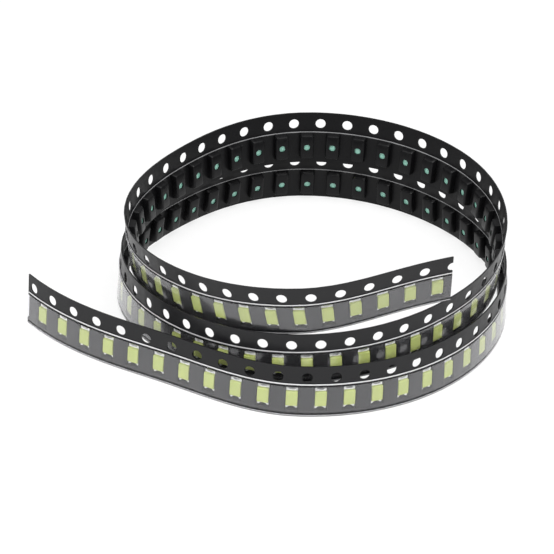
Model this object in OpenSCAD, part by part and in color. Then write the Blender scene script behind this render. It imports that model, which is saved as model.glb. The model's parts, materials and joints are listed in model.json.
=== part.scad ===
// Cut length of embossed carrier tape, wound in a loose rising coil and packed
// with small chip lights under a clear cover film. Sizes in millimetres.
// The coil stands on the lower edge of its tape, z = 0 is the table. Directions
// are those of a person in front of the coil: front is -Y and right is +X.

/* [Carrier tape] */
// Width of the tape across its run
tape_width = 8; // [7.8:0.1:9]
// Thickness of the embossed sheet
tape_thickness = 0.2; // [0.18:0.01:0.3]
// Distance from one feed hole to the next
hole_pitch = 4; // [3.9:0.05:4.4]
// Bore of the round feed holes
hole_diameter = 1.5; // [1:0.05:1.6]
// Feed hole centre to the upper edge of the tape
hole_edge = 1.75; // [1.4:0.05:2]
// Number of packed pockets along the tape
pocket_count = 102; // [90:1:106]
// Tape left in front of the first feed hole
start_margin = 1.3; // [1.15:0.05:1.4]

/* [Pockets] */
// Feed hole line to the middle of the pocket row
pocket_drop = 3.5; // [3.3:0.05:3.8]
// Inside size of a pocket across the tape
pocket_length = 3.4; // [3.3:0.05:3.6]
// Inside size of a pocket along the tape
pocket_width = 1.8; // [1.7:0.02:1.84]
// Depth of a pocket below the outer face of the tape
pocket_depth = 0.95; // [0.9:0.05:1.1]
// Wall and floor of a formed pocket
pocket_wall = 0.15; // [0.12:0.01:0.2]
// Vent bore in the floor of a pocket
vent_diameter = 1; // [0.5:0.05:1.2]

/* [Cover film] */
// Width of the clear film, measured from the lower edge of the tape
film_width = 5.3; // [5:0.05:5.4]
// Thickness of the clear film
film_thickness = 0.06; // [0.04:0.01:0.1]

/* [Chip lights] */
// Length of a chip light across the tape
chip_length = 3.2; // [2.8:0.05:3.25]
// Width of a chip light along the tape
chip_width = 1.6; // [1.3:0.05:1.65]
// Thickness of the base board
board_thickness = 0.4; // [0.3:0.05:0.45]
// Height of the cast lens above the base board
lens_height = 0.5; // [0.3:0.05:0.55]
// Slope of each end of the lens, from foot to top
lens_draft = 0.1; // [0:0.02:0.2]
// Length of the plated terminal at each end
terminal_length = 0.4; // [0.3:0.05:0.5]
// Bore of the half round notch in each terminal
notch_diameter = 0.5; // [0.3:0.05:0.55]
// Chip lights kept together in one part file
group_size = 10; // [8:1:12]

/* [Coil outline] */
// Direction of the lower end from the middle of the coil, degrees
start_angle = -170; // [-173:1:-162]
// Reach of the lower end towards the left
reach_tail = 42.1; // [38:0.1:46]
// Reach of the first turn, front left
reach_front_left = 27.6; // [27:0.1:31]
// Reach of the first turn, front
reach_front = 26.7; // [26:0.1:29]
// Reach of the first turn, front right
reach_front_right = 27.3; // [26.5:0.1:30]
// Reach of the first turn, right
reach_right = 29.3; // [28.5:0.1:31]
// Reach of the first turn, rear right
reach_rear_right = 31.3; // [29.5:0.1:33]
// Reach of the first turn, rear
reach_rear = 31.1; // [29:0.1:33]
// Reach of the first turn, rear left
reach_rear_left = 26.7; // [25.5:0.1:30]
// Reach of the first turn, left
reach_left = 25.6; // [25:0.1:28]

/* [Second turn] */
// Inset from the first turn, front left
inset_front_left = 3.4; // [3.2:0.1:5]
// Inset from the first turn, front
inset_front = 2.1; // [2:0.1:3]
// Inset from the first turn, front right
inset_front_right = 1.6; // [1.5:0.1:2.5]
// Inset from the first turn, right
inset_right = 0.7; // [0.6:0.1:1.5]
// Inset from the first turn, rear right
inset_rear_right = 0.2; // [0.2:0.1:1]
// Inset from the first turn, rear
inset_rear = 0.8; // [0.7:0.1:1.5]
// Inset from the first turn, rear left
inset_rear_left = 1; // [0.9:0.1:2.5]
// Inset from the first turn, left
inset_left = 0.6; // [0.5:0.1:1.5]

/* [Upper end] */
// Inset of the upper end from the second turn, front left
inset_upper_left = 0.6; // [0.4:0.1:0.8]
// Spread of the upper end past the second turn, front
spread_front = 0.5; // [0.2:0.1:0.5]
// Spread of the upper end past the second turn, front right
spread_front_right = 2; // [1.6:0.1:2.6]
// Spread of the upper end at the right, where it would pass next
spread_right = 17.7; // [16:0.1:20]

/* [Rise and lean] */
// Lift of the tape from the first turn to the second
first_rise = 7; // [6.9:0.1:8]
// Angle at which the first lift begins
first_rise_from = 105; // [100:5:120]
// Angle at which the first lift ends
first_rise_to = 415; // [405:5:420]
// Lift of the tape after the second turn
second_rise = 7.9; // [7.8:0.1:9]
// Angle at which the second lift begins
second_rise_from = 535; // [525:5:535]
// Angle at which the second lift would end
second_rise_to = 700; // [695:5:715]
// Lean of the tape at its lower end, degrees, top outward
lean_start = -1; // [-3:0.5:0]
// Lean one third of the way along
lean_low = -4; // [-5:0.5:0]
// Lean two thirds of the way along
lean_high = 5; // [4:0.5:6]
// Lean at the upper end
lean_end = 10; // [8:0.5:12]

/* [Hidden] */
hole_line = tape_width - hole_edge;
film_top = film_width - hole_line;
groups = ceil(pocket_count / group_size);
inner_length = chip_length - 2 * terminal_length;
shell_gap = 0.1;
fold = (hole_pitch - pocket_width - 2 * pocket_wall - shell_gap) / 2;
cut_end = pocket_count * hole_pitch;
over = 0.5;

// Reach of the tape from the middle of the coil, one value each eighth of a
// turn, from the left at -180 degrees and counter-clockwise seen from above
eighth = 45;
first_turn = [reach_front_left, reach_front, reach_front_right, reach_right,
    reach_rear_right, reach_rear, reach_rear_left, reach_left];
second_turn = first_turn - [inset_front_left, inset_front, inset_front_right, inset_right,
    inset_rear_right, inset_rear, inset_rear_left, inset_left];
upper_end = [for (i = [0:3]) second_turn[i]]
    - [inset_upper_left, -spread_front, -spread_front_right, -spread_right];
reaches = concat([reach_tail], first_turn, second_turn, upper_end);

function reach_no(i) = i < 0 ? 2 * reaches[0] - reaches[1] : reaches[min(i, len(reaches) - 1)];
// Smooth curve through the reaches
function blend(a, b, c, d, u) =
    b + u / 2 * (c - a + u * (2 * a - 5 * b + 4 * c - d + u * (3 * (b - c) + d - a)));
function reach(a) = let (t = (a + 180) / eighth, i = floor(t))
    blend(reach_no(i - 1), reach_no(i), reach_no(i + 1), reach_no(i + 2), t - i);
function plan(a) = reach(a) * [cos(a), sin(a)];

// Length wound up to each degree, and the angle at a length along the tape
track = [for (a = start_angle, l = -start_margin; l <= cut_end + hole_pitch;
    l = l + norm(plan(a + 1) - plan(a)), a = a + 1) [l, a]];
function angle_at(s) = lookup(s, track);
wound = angle_at(cut_end) - start_angle;

// Rise and lean, by angle
function clip(t) = min(1, max(0, t));
function ease(t) = clip(t) * clip(t) * (3 - 2 * clip(t));
function rise(a) =
    first_rise * ease((a - first_rise_from) / (first_rise_to - first_rise_from))
    + second_rise * ease((a - second_rise_from) / (second_rise_to - second_rise_from));
leans = [lean_start, lean_low, lean_high, lean_end, lean_end];
function lean(a) = let (t = 3 * clip((a - start_angle) / wound), i = floor(t))
    leans[i] + (leans[i + 1] - leans[i]) * ease(t - i);
function unit(v) = v / norm(v);

// Place on the tape: [hole line on the outer face, run, outward, up, lower edge height]
function place(s) = let (
    a = angle_at(s),
    step = plan(a + 0.5) - plan(a - 0.5),
    h = unit(step),
    g = atan((rise(a + 0.5) - rise(a - 0.5)) / norm(step)),
    l = lean(a),
    run = [h[0] * cos(g), h[1] * cos(g), sin(g)],
    out = cos(l) * [h[1], -h[0], 0] - sin(l) * [-sin(g) * h[0], -sin(g) * h[1], cos(g)],
    up = cross(out, run),
    p = plan(a))
    [[p[0], p[1], rise(a) + hole_line * up[2]], run, out, up, rise(a)];

// The tape is folded in flats: one at each feed hole and one at each pocket
stations = concat([-start_margin, fold],
    [for (k = [1:pocket_count - 1]) each [k * hole_pitch - fold, k * hole_pitch + fold]],
    [cut_end - fold, cut_end]);
places = [for (s = stations) place(s)];

// Middle of the coil on the table, from the farthest points of its outer face
skirt = [for (p = places) each [p[0] - hole_line * p[3] + film_thickness * p[2],
    p[0] + hole_edge * p[3]]];
function mid(v) = (min(v) + max(v)) / 2;
middle = [mid([for (p = skirt) p[0]]), mid([for (p = skirt) p[1]]), 0];

// Frame of a flat between two places, its origin on the outer face
function flat_frame(p, q) = let (
    x = unit(q[0] - p[0]),
    n = p[2] + q[2],
    z = unit(n - (n * x) * x),
    y = cross(z, x),
    o = (p[0] + q[0]) / 2 - middle)
    [[x[0], y[0], z[0], o[0]], [x[1], y[1], z[1], o[1]], [x[2], y[2], z[2], o[2]], [0, 0, 0, 1]];
function flat_at(s, half) = flat_frame(place(s - half), place(s + half));
function hole_frame(k) = flat_at(k * hole_pitch, fold);
function pocket_frame(k) = flat_at((k + 0.5) * hole_pitch, hole_pitch / 2 - fold);

// Point of a section at a place. The cut lower edge lies level, so that no
// corner of it drops below the edge itself
function corner(p, q) = let (c = p[0] + q[0] * p[3] + q[1] * p[2] - middle)
    [c[0], c[1], max(c[2], p[4])];

// Solid swept through the flats; profile is a list of [across, outward] points.
// Each face is split from its lower corner, so that sheet and film lie close
module swept(profile) {
    n = len(profile);
    m = len(places);
    pts = [for (p = places) for (q = profile) corner(p, q)];
    sides = [for (i = [0:m - 2]) for (j = [0:n - 1])
        let (a = i * n + j, b = i * n + (j + 1) % n, c = a + n, d = b + n)
        each profile[j][0] <= profile[(j + 1) % n][0]
            ? [[a, b, d], [a, d, c]] : [[a, b, c], [b, d, c]]];
    ends = [[for (j = [n - 1:-1:0]) j], [for (j = [0:n - 1]) (m - 1) * n + j]];
    polyhedron(points = pts, faces = concat(sides, ends), convexity = 10);
}

// Flat sheet of the tape, its outer face split along the top of the film
module sheet() {
    swept([[-hole_line, 0], [film_top, 0], [hole_edge, 0],
        [hole_edge, -tape_thickness], [-hole_line, -tape_thickness]]);
}

// Outside of one formed pocket, from inside the sheet to its floor
module pocket_shell() {
    w = pocket_width + 2 * pocket_wall;
    l = pocket_length + 2 * pocket_wall;
    translate([-w / 2, -pocket_drop - l / 2, -pocket_depth - pocket_wall])
        cube([w, l, pocket_depth + pocket_wall - tape_thickness / 2]);
}

// Hollow of one pocket, through the outer face
module pocket_hollow() {
    translate([-pocket_width / 2, -pocket_drop - pocket_length / 2, -pocket_depth])
        cube([pocket_width, pocket_length, pocket_depth + over]);
}

module vent() {
    translate([0, -pocket_drop, -pocket_depth - pocket_wall - over])
        cylinder(d = vent_diameter, h = pocket_wall + 2 * over, $fn = 24);
}

module feed_hole() {
    translate([0, 0, -tape_thickness - over])
        cylinder(d = hole_diameter, h = tape_thickness + 2 * over, $fn = 32);
}

// The lower end is cut through an empty pocket: its last wall and a strip of
// its hollow are left
left_over = start_margin - (hole_pitch - pocket_width) / 2;

module end_wall() {
    l = pocket_length + 2 * pocket_wall;
    translate([-start_margin, -pocket_drop - l / 2, -pocket_depth - pocket_wall])
        cube([left_over + pocket_wall, l, pocket_depth + pocket_wall - tape_thickness / 2]);
}

module end_hollow() {
    translate([-start_margin - over, -pocket_drop - pocket_length / 2, -pocket_depth])
        cube([left_over + over, pocket_length, pocket_depth + over]);
}

module carrier_tape() {
    color([0.16, 0.16, 0.17]) difference() {
        union() {
            sheet();
            for (k = [0:pocket_count - 1]) multmatrix(pocket_frame(k)) pocket_shell();
            multmatrix(hole_frame(0)) end_wall();
        }
        for (k = [0:pocket_count - 1]) multmatrix(pocket_frame(k)) pocket_hollow();
        for (k = [0:pocket_count - 1]) multmatrix(pocket_frame(k)) vent();
        for (k = [0:pocket_count]) multmatrix(hole_frame(k)) feed_hole();
        multmatrix(hole_frame(0)) end_hollow();
    }
}

// Clear film on the outer face, over the pockets, its lower edge with the tape
module cover_film() {
    color([0.8, 0.82, 0.86, 0.35])
        swept([[-hole_line, film_thickness], [film_top, film_thickness],
            [film_top, 0], [-hole_line, 0]]);
}

// Chips of one group, each placed in its pocket
module in_pockets(g) {
    for (k = [(g - 1) * group_size:min(g * group_size, pocket_count) - 1])
        multmatrix(pocket_frame(k)) translate([0, -pocket_drop, -pocket_depth]) children();
}

// Cast lens, a block with two drafted ends, standing on the base board
module lens(g) {
    foot = inner_length / 2;
    top = foot - lens_draft;
    color([0.80, 0.85, 0.62]) in_pockets(g)
        translate([-chip_width / 2, 0, board_thickness])
            rotate([90, 0, 90])
                linear_extrude(chip_width)
                    polygon([[-foot, 0], [foot, 0], [top, lens_height], [-top, lens_height]]);
}

module base_board(g) {
    color([0.2, 0.62, 0.5]) in_pockets(g)
        translate([-chip_width / 2, -inner_length / 2, 0])
            cube([chip_width, inner_length, board_thickness]);
}

// Plated end of the board with a half round notch, side is 1 or -1
module terminal(g, side) {
    color([0.85, 0.86, 0.84]) in_pockets(g) difference() {
        translate([-chip_width / 2, side > 0 ? inner_length / 2 : -chip_length / 2, 0])
            cube([chip_width, terminal_length, board_thickness]);
        translate([0, side * chip_length / 2, -over])
            cylinder(d = notch_diameter, h = board_thickness + 2 * over, $fn = 24);
    }
}

carrier_tape();
cover_film();
for (g = [1:groups]) {
    lens(g);
    base_board(g);
    terminal(g, 1);
    terminal(g, -1);
}
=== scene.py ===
# %% [markdown]
# # A coil of packed light tape
# Small chip lights are sold in a long black plastic tape. Each light lies in
# its own pressed pocket, and a clear film is sealed over the pockets. Here a
# cut length of that tape stands on its edge, wound a little over twice.
#
# The CAD model gives every size. This lesson dresses it: the tape, the film and
# the lights are modelled flat, as they are made, and are then wound up.

import json
from math import atan2, ceil, cos, radians, sin

import bpy
import numpy as np
from mathutils import Matrix, Vector

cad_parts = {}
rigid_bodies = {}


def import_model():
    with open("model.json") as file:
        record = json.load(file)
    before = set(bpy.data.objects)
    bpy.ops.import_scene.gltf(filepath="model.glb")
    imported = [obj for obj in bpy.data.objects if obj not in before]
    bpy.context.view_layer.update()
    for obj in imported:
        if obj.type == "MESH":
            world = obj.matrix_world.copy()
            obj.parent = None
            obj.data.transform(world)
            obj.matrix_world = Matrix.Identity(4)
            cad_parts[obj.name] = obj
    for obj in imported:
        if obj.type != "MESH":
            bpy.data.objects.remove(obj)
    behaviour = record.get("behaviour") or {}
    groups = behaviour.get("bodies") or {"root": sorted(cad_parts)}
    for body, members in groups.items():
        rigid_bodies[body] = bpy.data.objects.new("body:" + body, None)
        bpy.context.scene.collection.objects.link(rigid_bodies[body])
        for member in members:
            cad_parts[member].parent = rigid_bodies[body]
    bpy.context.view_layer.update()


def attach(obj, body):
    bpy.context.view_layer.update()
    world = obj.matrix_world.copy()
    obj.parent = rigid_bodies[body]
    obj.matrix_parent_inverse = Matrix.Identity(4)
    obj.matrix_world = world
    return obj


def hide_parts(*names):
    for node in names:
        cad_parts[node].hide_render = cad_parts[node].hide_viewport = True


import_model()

# %% [markdown]
# ## The camera
# A long lens from a little above the coil keeps its turns nearly parallel, as
# in a product picture. The camera looks at a point just behind the middle of
# the coil and is rolled by nearly three degrees, so that the coil seems to lean.
# Lengths are in metres here.

# %% Camera
camera = bpy.data.objects.new("camera", bpy.data.cameras.new("camera"))
bpy.context.scene.collection.objects.link(camera)
camera.data.sensor_width = 36
camera.data.lens = 231.58
camera.data.clip_start = 0.02
distance, elevation, roll = 0.5164, radians(32.54), radians(2.81)
target = Vector((0.00093, 0.00588, 0))
back = Vector((0, -cos(elevation), sin(elevation)))
turn = back.to_track_quat("Z", "Y").to_matrix() @ Matrix.Rotation(roll, 3, "Z")
camera.matrix_world = Matrix.Translation(target + distance * back) @ turn.to_4x4()
bpy.context.scene.camera = camera
print("camera at", [round(v, 4) for v in camera.location])

# %% [markdown]
# ## Light and floor
# Plain soft light shows the real colours. There is a wide lamp overhead, one at
# the front left and a weaker one at the front right, which lights the chips on
# the coil's right side, and a pale world for the shade. The floor is white.
# Rays from the camera, and those that gloss and clear film send out, see it
# nearly glowing, so that the background is white while a faint shadow stays.

# %% World, lamps and floor
scene = bpy.context.scene
scene.view_settings.view_transform = "Standard"
world = bpy.data.worlds.new("pale_room")
scene.world = world
world.use_nodes = True
sky = world.node_tree.nodes["Background"]
sky.inputs["Color"].default_value = (1, 1, 1, 1)
sky.inputs["Strength"].default_value = 0.6


def soft_lamp(name, place, aim, size, watts):
    lamp = bpy.data.objects.new(name, bpy.data.lights.new(name, "AREA"))
    lamp.data.size = size
    lamp.data.energy = watts
    way = Vector(place) - Vector(aim)
    lamp.matrix_world = Matrix.Translation(place) @ way.to_track_quat("Z", "Y").to_matrix().to_4x4()
    scene.collection.objects.link(lamp)
    return lamp


soft_lamp("lamp_overhead", (0.05, -0.1, 0.5), (0, 0, 0), 0.35, 2.6)
soft_lamp("lamp_left", (-0.5, -0.3, 0.3), (0, 0, 0), 0.3, 1.5)
soft_lamp("lamp_right", (0.4, -0.45, 0.3), (0, 0, 0), 0.3, 1.2)


# %% Node helpers
def material(name):
    """A new material with a Principled shader, and its tree."""
    made = bpy.data.materials.new(name)
    made.use_nodes = True
    return made, made.node_tree, made.node_tree.nodes["Principled BSDF"]


def add(tree, kind, **values):
    """A node of this kind. Names that are sockets set sockets, others set the node."""
    node = tree.nodes.new(kind)
    for key, value in values.items():
        if key in node.inputs:
            node.inputs[key].default_value = value
        else:
            setattr(node, key, value)
    return node


def join(tree, a, b):
    tree.links.new(a, b)


def measure(tree, operation, first, second=None, third=None):
    """A Math node; its inputs are numbers or sockets."""
    node = add(tree, "ShaderNodeMath", operation=operation)
    for slot, value in zip(node.inputs, (first, second, third)):
        if value is None:
            continue
        if isinstance(value, (int, float)):
            slot.default_value = value
        else:
            join(tree, value, slot)
    return node.outputs[0]


# %% Floor
FLOOR_GAP = 0.00002
GLOW = 0.8
bpy.ops.object.select_all(action="DESELECT")
bpy.ops.mesh.primitive_plane_add(size=6, location=(0, 0, -FLOOR_GAP))
floor = bpy.context.object
floor.name = "floor"
white_floor, tree, shader = material("white_floor")
shader.inputs["Base Color"].default_value = (0.86, 0.86, 0.86, 1)
shader.inputs["Roughness"].default_value = 0.9
ray = add(tree, "ShaderNodeLightPath")
seen = measure(tree, "ADD", ray.outputs["Is Camera Ray"], ray.outputs["Is Glossy Ray"])
seen = measure(tree, "ADD", seen, ray.outputs["Is Transmission Ray"])
share = measure(tree, "MULTIPLY", measure(tree, "MINIMUM", seen, 1.0), GLOW)
glow = add(tree, "ShaderNodeEmission", Strength=1.0)
mix = add(tree, "ShaderNodeMixShader")
join(tree, share, mix.inputs[0])
join(tree, shader.outputs[0], mix.inputs[1])
join(tree, glow.outputs[0], mix.inputs[2])
join(tree, mix.outputs[0], tree.nodes["Material Output"].inputs["Surface"])
floor.data.materials.append(white_floor)
print("floor", floor.dimensions[:2])

# %% [markdown]
# ## The path of the coil
# The tape stands on its lower edge. Seen from above its reach from the middle
# of the coil is a smooth curve through one value each eighth of a turn. It
# climbs while it passes from one turn to the next, and leans a little. These
# are the CAD model's own values, in millimetres.

# %% Sizes of the tape
WIDTH, SHEET, PITCH, HOLE, EDGE, POCKETS, MARGIN = 8.0, 0.2, 4.0, 1.5, 1.75, 102, 1.3
DROP, POCKET_LONG, POCKET_WIDE, DEPTH, WALL, VENT = 3.5, 3.4, 1.8, 0.95, 0.15, 1.0
FILM_WIDE, FILM_THICK = 5.3, 0.06
CHIP_LONG, CHIP_WIDE, BOARD, LENS, DRAFT, TERMINAL, NOTCH = 3.2, 1.6, 0.4, 0.5, 0.1, 0.4, 0.5
LINE = WIDTH - EDGE
FOLD = (PITCH - POCKET_WIDE - 2 * WALL - 0.1) / 2
MM = 0.001

# %% Path from above, rise and lean
first = np.array([27.6, 26.7, 27.3, 29.3, 31.3, 31.1, 26.7, 25.6])
second = first - [3.4, 2.1, 1.6, 0.7, 0.2, 0.8, 1.0, 0.6]
last = second[:4] - [0.6, -0.5, -2.0, -17.7]
reaches = [42.1, *first, *second, *last]
reaches = [2 * reaches[0] - reaches[1], *reaches, reaches[-1]]
START, LEANS = -170.0, (-1, -4, 5, 10, 10)


def plan(angle):
    """Point on the path at this angle, seen from above."""
    t = (angle + 180) / 45
    i = int(t)
    a, b, c, d = (reaches[min(i + j, len(reaches) - 1)] for j in range(4))
    u = t - i
    reach = b + u / 2 * (c - a + u * (2 * a - 5 * b + 4 * c - d + u * (3 * (b - c) + d - a)))
    return reach * np.array([cos(radians(angle)), sin(radians(angle))])


def ease(t):
    t = min(1, max(0, t))
    return t * t * (3 - 2 * t)


def rise(angle):
    return 7.0 * ease((angle - 105) / 310) + 7.9 * ease((angle - 535) / 165)


lengths, angles = [-MARGIN], [START]
while lengths[-1] <= (POCKETS + 1) * PITCH:
    lengths.append(lengths[-1] + np.linalg.norm(plan(angles[-1] + 1) - plan(angles[-1])))
    angles.append(angles[-1] + 1)
wound = np.interp(POCKETS * PITCH, lengths, angles) - START
print("the tape turns through", round(float(wound)), "degrees")


# %% Place at a length along the tape
def unit(v):
    return v / np.linalg.norm(v)


def place(s):
    """Hole line on the outer face, run, outward, up and height of the lower edge."""
    angle = float(np.interp(s, lengths, angles))
    step = plan(angle + 0.5) - plan(angle - 0.5)
    h = unit(step)
    slope = atan2(rise(angle + 0.5) - rise(angle - 0.5), np.linalg.norm(step))
    t = 3 * min(1, max(0, (angle - START) / wound))
    i = int(t)
    lean = radians(LEANS[i] + (LEANS[min(i + 1, 4)] - LEANS[i]) * ease(t - i))
    run = np.array([h[0] * cos(slope), h[1] * cos(slope), sin(slope)])
    level = np.array([-sin(slope) * h[0], -sin(slope) * h[1], cos(slope)])
    out = cos(lean) * np.array([h[1], -h[0], 0]) - sin(lean) * level
    up = np.cross(out, run)
    spot = np.array([*plan(angle), rise(angle) + LINE * up[2]])
    return spot, run, out, up, rise(angle)


stations = [-MARGIN, FOLD]
for k in range(1, POCKETS):
    stations += [k * PITCH - FOLD, k * PITCH + FOLD]
stations += [POCKETS * PITCH - FOLD, POCKETS * PITCH]
places = [place(s) for s in stations]
skirt = np.array([q for p in places for q in (p[0] - LINE * p[3] + FILM_THICK * p[2], p[0] + EDGE * p[3])])
middle = (skirt.min(0) + skirt.max(0)) / 2 * [1, 1, 0]
print("middle of the coil at", middle.round(2))

# %% [markdown]
# ## Winding
# The tape folds a little beside each pocket, because the pockets are stiff. So
# its path is straight in flats, with each fold rounded over half a millimetre.
# wind() takes a flat mesh, in millimetres along, across and out, and lays every
# point of it on that path, in metres.

# %% The wound path
fine = np.arange(-MARGIN - 3, POCKETS * PITCH + 3, 0.05)


def along(values):
    """Straight between stations, on past both ends, then rounded at the folds."""
    values, s = np.array(values), np.array(stations)
    table = np.stack([np.interp(fine, s, column) for column in values.T], 1)
    for near, far, side in ((0, 1, fine < s[0]), (-1, -2, fine > s[-1])):
        rate = (values[near] - values[far]) / (s[near] - s[far])
        table[side] = values[near] + rate * (fine[side] - s[near])[:, None]
    window = np.ones(11) / 11
    smooth = np.stack([np.convolve(column, window, "same") for column in table.T], 1)
    smooth[:6], smooth[-6:] = table[:6], table[-6:]
    return smooth


path, ups, outs, feet = (along([p[i] if i < 4 else [p[4]] for p in places]) for i in (0, 3, 2, 4))


def laid(points):
    """Flat points (along, across, out) in mm to wound ones in metres."""
    s, y, z = points.T
    at = [np.stack([np.interp(s, fine, c) for c in table.T], 1) for table in (path, ups, outs, feet)]
    wound_up = at[0] + y[:, None] * at[1] + z[:, None] * at[2] - middle
    wound_up[:, 2] = np.maximum(wound_up[:, 2], at[3][:, 0])
    return wound_up * MM


def wind(piece):
    """Winds a flat piece. Its flat place, in metres, stays as a UV map, and its
    height above the outer face, in millimetres, as the attribute depth."""
    mesh = piece.data
    points = np.empty(3 * len(mesh.vertices))
    mesh.vertices.foreach_get("co", points)
    points = points.reshape(-1, 3)
    owner = np.empty(len(mesh.loops), int)
    mesh.loops.foreach_get("vertex_index", owner)
    while mesh.uv_layers:
        mesh.uv_layers.remove(mesh.uv_layers[0])
    flat = mesh.uv_layers.new(name="flat")
    flat.data.foreach_set("uv", (points[owner][:, :2] * MM).ravel())
    mesh.attributes.new("depth", "FLOAT", "POINT").data.foreach_set("value", points[:, 2])
    mesh.vertices.foreach_set("co", laid(points).ravel())
    mesh.update()
    print(piece.name, "wound,", len(mesh.polygons), "faces")


# %% Frames of the pockets
def pocket_frame(k):
    """Matrix from a pocket's floor (along, across, out in mm) to its place in metres."""
    p, q = place(k * PITCH + FOLD), place((k + 1) * PITCH - FOLD)
    x = unit(q[0] - p[0])
    n = p[2] + q[2]
    z = unit(n - (n @ x) * x)
    y = np.cross(z, x)
    o = (p[0] + q[0]) / 2 - middle - DROP * y - DEPTH * z
    grid = np.eye(4)
    grid[:3] = np.stack([x, y, z, o], 1) * MM
    return Matrix(grid.tolist())


print("first pocket at", [round(1000 * v, 2) for v in pocket_frame(0).translation])


# %% [markdown]
# ## Working in edit mode
# Each step of modelling acts on what is selected. These helpers leave nothing
# selected by chance: fresh() clears the scene's selection, pick() selects the
# faces, edges or corners of one mesh whose middles pass a test.

# %% Edit helpers
def fresh():
    if bpy.context.mode != "OBJECT":
        bpy.ops.object.mode_set(mode="OBJECT")
    bpy.ops.object.select_all(action="DESELECT")


def pick(piece, kind, keep):
    """Selects in edit mode only what passes keep(middle), and says how many."""
    bpy.ops.object.mode_set(mode="EDIT")
    bpy.ops.mesh.select_mode(type=kind)
    bpy.ops.mesh.select_all(action="DESELECT")
    bpy.ops.object.mode_set(mode="OBJECT")
    mesh = piece.data
    found = 0
    for item in {"VERT": mesh.vertices, "EDGE": mesh.edges, "FACE": mesh.polygons}[kind]:
        if kind == "FACE":
            middle_of = item.center
        elif kind == "VERT":
            middle_of = item.co
        else:
            a, b = item.vertices
            middle_of = (mesh.vertices[a].co + mesh.vertices[b].co) / 2
        item.select = bool(keep(middle_of))
        found += item.select
    bpy.ops.object.mode_set(mode="EDIT")
    return found


def cut(across, at):
    """Cuts all faces along a straight line, x = at or y = at."""
    bpy.ops.mesh.select_all(action="SELECT")
    bpy.ops.mesh.bisect(
        plane_co=(at, 0, 0) if across else (0, at, 0),
        plane_no=(1, 0, 0) if across else (0, 1, 0),
    )


def apply_all(piece):
    fresh()
    piece.select_set(True)
    bpy.context.view_layer.objects.active = piece
    for modifier in list(piece.modifiers):
        bpy.ops.object.modifier_apply(modifier=modifier.name)


def near(a, b, room=0.01):
    return abs(a - b) < room


# %% [markdown]
# ## One pitch of the black tape
# The real tape is a thin sheet, warmed and pressed into pockets, then punched:
# one feed hole and one vent for each pocket. So one pitch is modelled as a
# sheet with no thickness: a plane is cut into strips, the pocket is pushed down
# with a floor a little smaller than its mouth, and rings of faces lead from
# square openings to the round holes. A shallow groove below the feed holes
# shows as a thin ridge on the inner face. The whole length comes from an Array,
# and its thickness comes last, from Solidify.

# %% One flat pitch
RIDGE, RIDGE_HALF, RIDGE_DEEP = 1.35, 0.1, 0.04
SEAM = 0.05
fresh()
bpy.ops.mesh.primitive_plane_add(size=1, location=(0, 0, 0))
tape = bpy.context.object
tape.name = "tape"
bpy.ops.object.mode_set(mode="EDIT")
bpy.ops.transform.resize(value=(PITCH, WIDTH, 1))
bpy.ops.transform.translate(value=(PITCH / 2 - FOLD - SEAM, EDGE - WIDTH / 2, 0))
x0, x1 = PITCH / 2 - POCKET_WIDE / 2, PITCH / 2 + POCKET_WIDE / 2
y0, y1 = -DROP - POCKET_LONG / 2 - 0.1, -DROP + POCKET_LONG / 2 + 0.2
for i in range(-3, 4):
    cut(True, i * FOLD / 3)
for x in (x0, PITCH / 2 - 0.6, PITCH / 2 - 0.2, PITCH / 2 + 0.2, PITCH / 2 + 0.6, x1):
    cut(True, x)
for i in range(-3, 4):
    cut(False, i * 0.3)
for y in (RIDGE_HALF - RIDGE, -RIDGE, -RIDGE_HALF - RIDGE, y1):
    cut(False, y)
for y in (-DROP + 0.6, -DROP + 0.2, -DROP - 0.2, -DROP - 0.6, y0, y0 - 0.3):
    cut(False, y)
ridge = pick(tape, "VERT", lambda c: near(c.y, -RIDGE))
bpy.ops.transform.translate(value=(0, 0, -RIDGE_DEEP))
bpy.ops.object.mode_set(mode="OBJECT")
print("flat pitch", len(tape.data.polygons), "faces,", ridge, "points on the ridge")

# %% Round openings
def punch(piece, half_x, half_y, centre, radius):
    """Turns the faces round centre into a ring that leads to a round opening."""
    c0 = Vector(centre)
    pick(piece, "FACE", lambda c: abs(c.x - c0.x) < half_x and abs(c.y - c0.y) < half_y and near(c.z, c0.z))
    bpy.ops.mesh.inset(thickness=0.05)
    bpy.ops.transform.tosphere(value=1.0, center_override=centre)
    bpy.ops.object.mode_set(mode="OBJECT")
    reach = max((v.co - c0).length for v in piece.data.vertices if v.select)
    bpy.ops.object.mode_set(mode="EDIT")
    bpy.ops.transform.resize(value=[radius / reach] * 3, center_override=centre)
    bpy.ops.mesh.delete(type="FACE")
    bpy.ops.object.mode_set(mode="OBJECT")
    rim = [(v.co - c0).length for v in piece.data.vertices if (v.co - c0).length < radius + 0.01]
    print(len(rim), "points on an opening of radius", round(max(rim), 3))


punch(tape, FOLD, 0.9, (0, 0, 0), HOLE / 2)

# %% Pocket
pick(tape, "FACE", lambda c: x0 < c.x < x1 and y0 < c.y < y1)
bpy.ops.mesh.extrude_region_move(TRANSFORM_OT_translate={"value": (0, 0, -DEPTH)})
bpy.ops.transform.resize(value=(0.955, 0.9, 1), center_override=(PITCH / 2, -DROP - 0.05, -DEPTH))


def on_corner(c):
    """Whether this is the middle of one of the four edges between two walls."""
    beside = near(abs(c.x - PITCH / 2), 0.88, 0.03) and near(abs(c.y + DROP), 1.76, 0.08)
    return near(c.z, -DEPTH / 2) and beside


walls = pick(tape, "EDGE", on_corner)
bpy.ops.mesh.bevel(offset=0.16, segments=2, affect="EDGES")
print("pocket has", walls, "corner edges")

# %% Vent
punch(tape, 0.58, 0.58, (PITCH / 2, -DROP, -DEPTH), VENT / 2)

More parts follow.
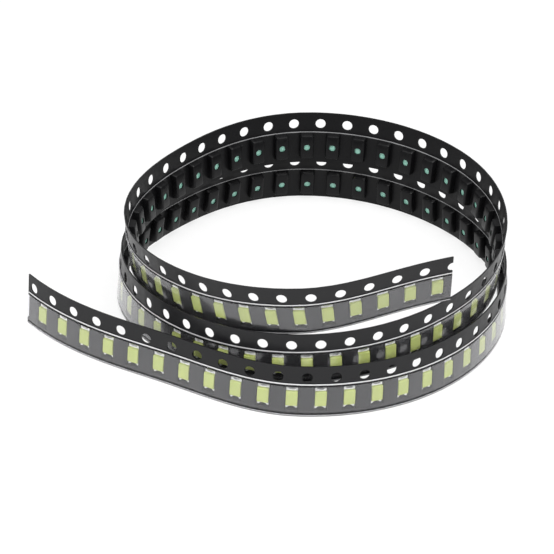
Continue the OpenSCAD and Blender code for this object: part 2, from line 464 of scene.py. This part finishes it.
# %% Rounded rims
pick(tape, "EDGE", lambda c: False)
bpy.ops.mesh.edges_select_sharp(sharpness=radians(60))
bpy.ops.mesh.bevel(offset=0.11, segments=2, affect="EDGES")
bpy.ops.object.mode_set(mode="OBJECT")
print("one pitch", len(tape.data.polygons), "faces")


# %% The whole length
def lengthen(piece, thickness, side, even=False):
    """Repeats one pitch along the tape and gives it a thickness on one side."""
    row = piece.modifiers.new("length", "ARRAY")
    row.use_relative_offset = False
    row.use_constant_offset = True
    row.constant_offset_displace = (PITCH, 0, 0)
    row.count = POCKETS + 2
    row.use_merge_vertices = True
    row.merge_threshold = 0.001
    wall = piece.modifiers.new("wall", "SOLIDIFY")
    wall.thickness = thickness
    wall.offset = side
    wall.use_even_offset = even
    apply_all(piece)


lengthen(tape, SHEET, -1, even=True)
print("flat tape", len(tape.data.polygons), "faces")


# %% Cut ends
def trim(piece, begin, end):
    """Moves the row back by one pitch and cuts it off square at both ends."""
    fresh()
    piece.select_set(True)
    bpy.context.view_layer.objects.active = piece
    bpy.ops.object.mode_set(mode="EDIT")
    bpy.ops.mesh.select_all(action="SELECT")
    bpy.ops.transform.translate(value=(-PITCH, 0, 0))
    bpy.ops.mesh.bisect(plane_co=(begin, 0, 0), plane_no=(1, 0, 0), clear_inner=True, use_fill=True)
    bpy.ops.mesh.select_all(action="SELECT")
    bpy.ops.mesh.bisect(plane_co=(end, 0, 0), plane_no=(1, 0, 0), clear_outer=True, use_fill=True)
    bpy.ops.object.mode_set(mode="OBJECT")
    print(piece.name, "is", round(piece.dimensions.x, 2), "mm long")


trim(tape, -MARGIN, POCKETS * PITCH)

# %% The tape, wound
wind(tape)
bpy.ops.object.shade_smooth_by_angle(angle=radians(35))
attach(tape, "root")
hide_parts("carrier_tape")
print("tape", len(tape.data.polygons), "faces")

# %% [markdown]
# ## The clear film
# The film is sealed to the tape along two narrow tracks, one above and one
# below the pockets. Outside the tracks its edges are free and stand off a
# little, and between them it lies taut. A plane cut into strips across the tape
# takes that section; the Array, the trim and the winding are the tape's own.

# %% One flat pitch of film
TOP = FILM_WIDE - LINE
FILM_GAP, FILM_SKIN = 0.012, 0.045
fresh()
bpy.ops.mesh.primitive_plane_add(size=1, location=(0, 0, 0))
film = bpy.context.object
film.name = "film"
bpy.ops.object.mode_set(mode="EDIT")
bpy.ops.transform.resize(value=(PITCH, FILM_WIDE, 1))
bpy.ops.transform.translate(value=(PITCH / 2 - FOLD - SEAM, TOP - FILM_WIDE / 2, FILM_GAP))
seals = (TOP - 0.18, TOP - 0.6, -LINE + 0.6, -LINE + 0.18)
for x in (-0.5, 0, 0.5, FOLD, 1.4, 2, 2.6):
    cut(True, x)
for y in (TOP - 0.09, *seals, seals[1] - 0.15, seals[2] + 0.15, -DROP, -LINE + 0.09):
    cut(False, y)
free = {TOP: 0.10, TOP - 0.09: 0.04, -LINE: 0.07, -LINE + 0.09: 0.03}
for y, lift in free.items():
    pick(film, "VERT", lambda c: near(c.y, y))
    bpy.ops.transform.translate(value=(0, 0, lift))
bpy.ops.object.mode_set(mode="OBJECT")
print("film pitch", len(film.data.polygons), "faces")

# %% The film, sealed and wound
lengthen(film, FILM_SKIN, 1)
trim(film, -MARGIN, POCKETS * PITCH)
wind(film)
bpy.ops.object.shade_smooth_by_angle(angle=radians(50))
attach(film, "root")
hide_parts("cover_film")

# %% [markdown]
# ## One chip light
# A light is a small board with plated ends and a cast block of resin on top,
# yellow-green because of the powder in it. The plating wraps round each end and
# has a half round notch. The board, lens and terminals are modelled once, flat
# at the middle of a pocket's floor, and then copied into the pockets.

# %% Lens
BODY = CHIP_LONG - 2 * TERMINAL


def block(name, size, centre):
    """A box at its size and place, left in edit mode with everything selected."""
    fresh()
    bpy.ops.mesh.primitive_cube_add(size=1, location=(0, 0, 0))
    piece = bpy.context.object
    piece.name = name
    bpy.ops.object.mode_set(mode="EDIT")
    bpy.ops.transform.resize(value=size)
    bpy.ops.transform.translate(value=centre)
    return piece


lens = block("lens", (CHIP_WIDE, BODY, LENS), (0, 0, BOARD + LENS / 2))
pick(lens, "FACE", lambda c: near(c.z, BOARD + LENS))
bpy.ops.transform.resize(value=(1, 1 - 2 * DRAFT / BODY, 1), center_override=(0, 0, BOARD + LENS))
bpy.ops.mesh.inset(thickness=0.2)
bpy.ops.transform.translate(value=(0, 0, -0.015))
pick(lens, "EDGE", lambda c: True)
bpy.ops.mesh.edges_select_sharp(sharpness=radians(50))
bpy.ops.mesh.bevel(offset=0.035, segments=2, affect="EDGES")
bpy.ops.object.mode_set(mode="OBJECT")
bpy.ops.object.shade_smooth_by_angle(angle=radians(30))
print("lens", len(lens.data.polygons), "faces")

# %% Base board
board = block("base_board", (CHIP_WIDE, BODY, BOARD), (0, 0, BOARD / 2))
pick(board, "FACE", lambda c: near(c.z, 0))
bpy.ops.mesh.inset(thickness=0.12)
bpy.ops.mesh.extrude_region_move(TRANSFORM_OT_translate={"value": (0, 0, 0.02)})
bpy.ops.object.mode_set(mode="OBJECT")
print("board", len(board.data.polygons), "faces")

# %% Terminal
CAP = BOARD + 0.15
terminal = block("terminal", (CHIP_WIDE, TERMINAL, CAP), (0, (CHIP_LONG - TERMINAL) / 2, CAP / 2))
bpy.ops.object.mode_set(mode="OBJECT")
bpy.ops.mesh.primitive_cylinder_add(vertices=24, radius=NOTCH / 2, depth=2, location=(0, CHIP_LONG / 2, 0.2))
bpy.ops.transform.resize(value=(2.2, 1.1, 1))
drill = bpy.context.object
bite = terminal.modifiers.new("notch", "BOOLEAN")
bite.object = drill
bite.solver = "EXACT"
apply_all(terminal)
fresh()
drill.select_set(True)
bpy.ops.object.delete()
pick(terminal, "EDGE", lambda c: near(c.z, CAP))
bpy.ops.mesh.bevel(offset=0.03, segments=2, affect="EDGES")
bpy.ops.object.mode_set(mode="OBJECT")
bpy.ops.object.shade_smooth_by_angle(angle=radians(30))
print("terminal", len(terminal.data.polygons), "faces")


# %% Copies in the pockets
GROUP = 10


def pack(model, name, turned=False):
    """A copy of the model in each pocket, joined by tens into one piece each."""
    for g in range(ceil(POCKETS / GROUP)):
        fresh()
        for k in range(g * GROUP, min((g + 1) * GROUP, POCKETS)):
            copy = model.copy()
            copy.data = model.data.copy()
            scene.collection.objects.link(copy)
            swing = Matrix.Rotation(radians(180), 4, "Z") if turned else Matrix.Identity(4)
            copy.data.transform(pocket_frame(k) @ swing)
            copy.select_set(True)
            bpy.context.view_layer.objects.active = copy
        bpy.ops.object.join()
        piece = bpy.context.object
        piece.name = f"{name}_{g + 1}_dressed"
        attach(piece, "root")
        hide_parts(f"{name}_{g + 1}")
    print(name, "in", POCKETS, "pockets")


pack(lens, "lens")
pack(board, "base_board")
pack(terminal, "upper_terminal")
pack(terminal, "lower_terminal", turned=True)
for model in (lens, board, terminal):
    fresh()
    model.select_set(True)
    bpy.ops.object.delete()

# %% [markdown]
# ## Finishes
# Five finishes are needed. Materials read the flat place of a point on the tape
# (its UV map) where a mark follows the run, and Object coordinates elsewhere.
#
# The black tape has painted shade on its inner face: a darker colour and a
# weaker shine there stand in for the shade inside the coil. Along the ridge the
# inner face has a painted highlight, a pale grey line. The film is clear and
# shows a soft shine from its coat. It vanishes where it is pressed on to the
# tape, and its free lips carry a painted highlight, a pale diffuse line.


# %% Speckle group
def new_group(name, inputs, outputs):
    group = bpy.data.node_groups.new(name, "ShaderNodeTree")
    for title, kind, value in inputs:
        group.interface.new_socket(title, in_out="INPUT", socket_type=kind).default_value = value
    for title, kind in outputs:
        group.interface.new_socket(title, in_out="OUTPUT", socket_type=kind)
    return group, group.nodes.new("NodeGroupInput"), group.nodes.new("NodeGroupOutput")


speckle, into, outof = new_group(
    "speckle",
    [("Vector", "NodeSocketVector", (0, 0, 0)), ("Scale", "NodeSocketFloat", 1000.0),
     ("Low", "NodeSocketFloat", 0.3), ("High", "NodeSocketFloat", 0.5)],
    [("Value", "NodeSocketFloat"), ("Mask", "NodeSocketFloat")],
)
cloud = add(speckle, "ShaderNodeTexNoise", Detail=4.0, Roughness=0.6)
join(speckle, into.outputs["Vector"], cloud.inputs["Vector"])
join(speckle, into.outputs["Scale"], cloud.inputs["Scale"])
spread = add(speckle, "ShaderNodeMapRange")
join(speckle, cloud.outputs["Fac"], spread.inputs["Value"])
spread.inputs["From Min"].default_value = 0.3
spread.inputs["From Max"].default_value = 0.7
join(speckle, into.outputs["Low"], spread.inputs["To Min"])
join(speckle, into.outputs["High"], spread.inputs["To Max"])
join(speckle, spread.outputs["Result"], outof.inputs["Value"])
join(speckle, cloud.outputs["Fac"], outof.inputs["Mask"])
print("group", speckle.name)


def use(tree, group, **values):
    node = add(tree, "ShaderNodeGroup")
    node.node_tree = group
    for key, value in values.items():
        if isinstance(value, (int, float, tuple)):
            node.inputs[key].default_value = value
        else:
            join(tree, value, node.inputs[key])
    return node


def band(tree, value, low, high):
    """0 below low, 1 above high and straight between them; falls where high < low."""
    node = add(tree, "ShaderNodeMapRange")
    join(tree, value, node.inputs["Value"])
    node.inputs["From Min"].default_value = min(low, high)
    node.inputs["From Max"].default_value = max(low, high)
    node.inputs["To Min"].default_value = float(high < low)
    node.inputs["To Max"].default_value = float(high > low)
    return node.outputs["Result"]


def bump(tree, shader, height, distance, strength=1.0):
    node = add(tree, "ShaderNodeBump", Strength=strength, Distance=distance)
    join(tree, height, node.inputs["Height"])
    join(tree, node.outputs[0], shader.inputs["Normal"])


# %% Black tape
black_tape, tree, shader = material("black_tape")
shader.inputs["IOR"].default_value = 1.5
flat_place = add(tree, "ShaderNodeUVMap", uv_map="flat")
depth = add(tree, "ShaderNodeAttribute", attribute_name="depth")
# Painted shade: the inner face gets a darker colour and a weaker shine than the outer face, standing in for
# the shade inside the coil.
outer = band(tree, depth.outputs["Fac"], -0.17, -0.12)
tone = add(tree, "ShaderNodeMix", data_type="RGBA")
join(tree, outer, tone.inputs["Factor"])
tone.inputs["A"].default_value = (0.004, 0.004, 0.0045, 1)
tone.inputs["B"].default_value = (0.008, 0.008, 0.009, 1)
split = add(tree, "ShaderNodeSeparateXYZ")
join(tree, flat_place.outputs[0], split.inputs[0])
across = measure(tree, "MULTIPLY", split.outputs["Y"], 1000.0)
# Painted highlight: a pale grey line along the ridge on the inner face stands in for light caught on its
# edge.
ridge_highlight_mask = measure(
    tree, "MULTIPLY",
    band(tree, across, -RIDGE - RIDGE_HALF, -RIDGE - RIDGE_HALF / 2),
    band(tree, across, -RIDGE + RIDGE_HALF, -RIDGE + RIDGE_HALF / 2),
)
inner = measure(tree, "SUBTRACT", 1.0, outer)
painted_ridge_highlight = add(tree, "ShaderNodeMix", data_type="RGBA")
join(tree, measure(tree, "MULTIPLY", ridge_highlight_mask, inner), painted_ridge_highlight.inputs["Factor"])
join(tree, tone.outputs["Result"], painted_ridge_highlight.inputs["A"])
painted_ridge_highlight.inputs["B"].default_value = (0.24, 0.24, 0.245, 1)
join(tree, painted_ridge_highlight.outputs["Result"], shader.inputs["Base Color"])
shine = measure(tree, "MULTIPLY_ADD", outer, 0.13, 0.17)
join(tree, shine, shader.inputs["Specular IOR Level"])
grain = use(tree, speckle, Vector=flat_place.outputs[0], Scale=1500.0, Low=0.28, High=0.42)
join(tree, grain.outputs["Value"], shader.inputs["Roughness"])
bump(tree, shader, grain.outputs["Mask"], 0.00001)
tape.data.materials.append(black_tape)

# %% Clear film
clear_film, tree, shader = material("clear_film")
shader.inputs["Base Color"].default_value = (0.97, 0.97, 1.0, 1)
shader.inputs["IOR"].default_value = 1.4
shader.inputs["Coat Weight"].default_value = 1.0
shader.inputs["Coat Roughness"].default_value = 0.42
shader.inputs["Transmission Weight"].default_value = 1.0
flat_place = add(tree, "ShaderNodeUVMap", uv_map="flat")
haze = use(tree, speckle, Vector=flat_place.outputs[0], Scale=400.0, Low=0.03, High=0.12)
join(tree, haze.outputs["Value"], shader.inputs["Roughness"])
bump(tree, shader, haze.outputs["Mask"], 0.00003)
ray = add(tree, "ShaderNodeLightPath")
through = add(tree, "ShaderNodeBsdfTransparent")
split = add(tree, "ShaderNodeSeparateXYZ")
join(tree, flat_place.outputs[0], split.inputs[0])
across = measure(tree, "MULTIPLY", split.outputs["Y"], 1000.0)


def stripe(low, high, soft=0.03):
    """1 between two heights on the film, in mm from the hole line, 0 elsewhere."""
    rising = band(tree, across, low - soft, low + soft)
    return measure(tree, "MULTIPLY", rising, band(tree, across, high + soft, high - soft))


pressed = measure(tree, "ADD", stripe(TOP - 0.58, TOP - 0.28), stripe(-LINE + 0.3, -LINE + 0.6))
pressed = measure(tree, "ADD", pressed, stripe(-LINE - 1, -LINE + 0.12))
clear = measure(tree, "MAXIMUM", ray.outputs["Is Shadow Ray"], pressed)
mix = add(tree, "ShaderNodeMixShader")
join(tree, clear, mix.inputs[0])
join(tree, shader.outputs[0], mix.inputs[1])
join(tree, through.outputs[0], mix.inputs[2])
# Painted highlight: a pale diffuse line on the film's free lips stands in for light caught on its edges.
lips = measure(tree, "MULTIPLY_ADD", stripe(-LINE + 0.14, -LINE + 0.28), 0.35, stripe(TOP - 0.22, TOP + 1))
painted_lip_highlight = add(tree, "ShaderNodeBsdfDiffuse", Color=(0.85, 0.85, 0.86, 1))
edged = add(tree, "ShaderNodeMixShader")
join(tree, measure(tree, "MULTIPLY", lips, 0.6), edged.inputs[0])
join(tree, mix.outputs[0], edged.inputs[1])
join(tree, painted_lip_highlight.outputs[0], edged.inputs[2])
join(tree, edged.outputs[0], tree.nodes["Material Output"].inputs["Surface"])
film.data.materials.append(clear_film)


# %% Chip finishes
def dress(word, made):
    for piece in scene.objects:
        if piece.type == "MESH" and word in piece.name and piece.name.endswith("_dressed"):
            piece.data.materials.clear()
            piece.data.materials.append(made)


phosphor, tree, shader = material("phosphor_resin")
spot = add(tree, "ShaderNodeTexCoord")
powder = use(tree, speckle, Vector=spot.outputs["Object"], Scale=9000.0, Low=0.0, High=1.0)
tone = add(tree, "ShaderNodeValToRGB")
tone.color_ramp.elements[0].color = (0.39, 0.45, 0.125, 1)
tone.color_ramp.elements[1].color = (0.48, 0.54, 0.165, 1)
join(tree, powder.outputs["Value"], tone.inputs[0])
join(tree, tone.outputs[0], shader.inputs["Base Color"])
shader.inputs["Roughness"].default_value = 0.35
shader.inputs["Subsurface Weight"].default_value = 0.3
shader.inputs["Subsurface Radius"].default_value = (1.0, 1.0, 0.4)
shader.inputs["Subsurface Scale"].default_value = 0.0002
dress("lens", phosphor)

plated, tree, shader = material("plated_silver")
spot = add(tree, "ShaderNodeTexCoord")
scuff = use(tree, speckle, Vector=spot.outputs["Object"], Scale=5000.0, Low=0.3, High=0.55)
shader.inputs["Base Color"].default_value = (0.92, 0.92, 0.90, 1)
join(tree, scuff.outputs["Value"], shader.inputs["Roughness"])
dress("terminal", plated)

masked, tree, shader = material("board_mask")
spot = add(tree, "ShaderNodeTexCoord")
cast = use(tree, speckle, Vector=spot.outputs["Object"], Scale=4000.0, Low=0.0, High=1.0)
tone = add(tree, "ShaderNodeValToRGB")
tone.color_ramp.elements[0].color = (0.18, 0.44, 0.35, 1)
tone.color_ramp.elements[1].color = (0.32, 0.58, 0.48, 1)
join(tree, cast.outputs["Value"], tone.inputs[0])
join(tree, tone.outputs[0], shader.inputs["Base Color"])
shader.inputs["Roughness"].default_value = 0.4
dress("base_board", masked)
print("materials", [m.name for m in bpy.data.materials])
